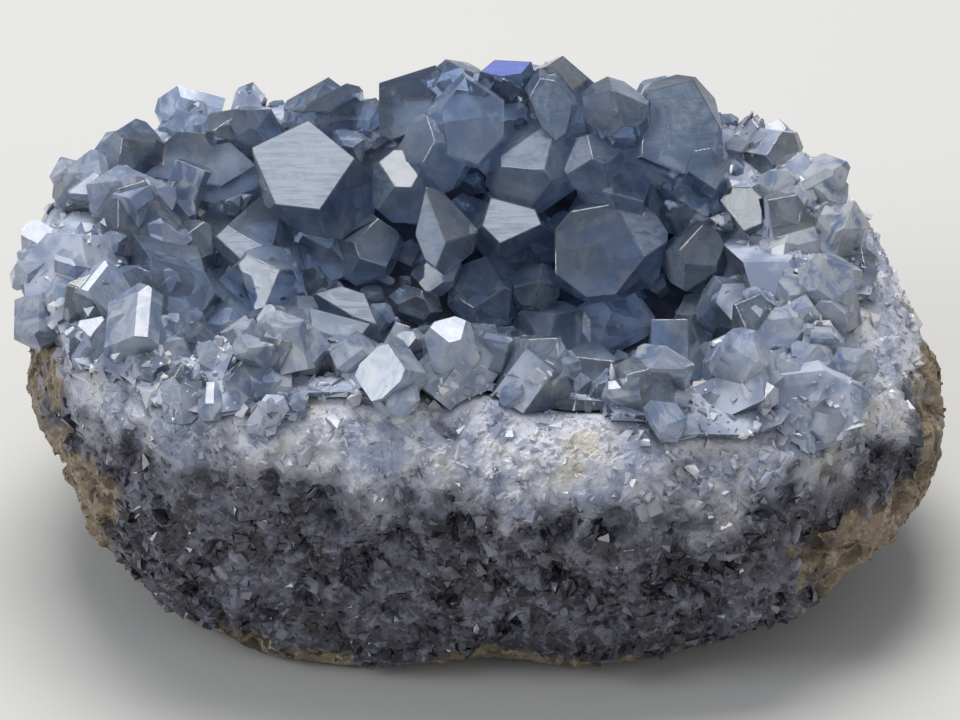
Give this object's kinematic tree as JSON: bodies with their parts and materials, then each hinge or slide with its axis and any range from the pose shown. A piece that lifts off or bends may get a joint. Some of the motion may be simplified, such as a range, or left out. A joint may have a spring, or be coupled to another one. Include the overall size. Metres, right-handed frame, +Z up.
{
  "type": "celestite crystal cluster",
  "caption": "Half geode that rests on a flat: a thick granular wall with a stony rind, and a hollow lined with large clear blue blocky crystals.",
  "frame": {"origin": "on the flat that the piece rests on, under its middle", "axes": "+Z up, +X to the right of the low front, +Y towards the higher back of the wall"},
  "size_m": [0.1781, 0.1131, 0.0854],
  "materials": {
    "granular_rock": "rough, granular",
    "celestine": "clear, glossy faces"
  },
  "bodies": {
    "root": {"geode_wall": "granular_rock", "crystal_crust": "celestine"}
  },
  "joints": []
}
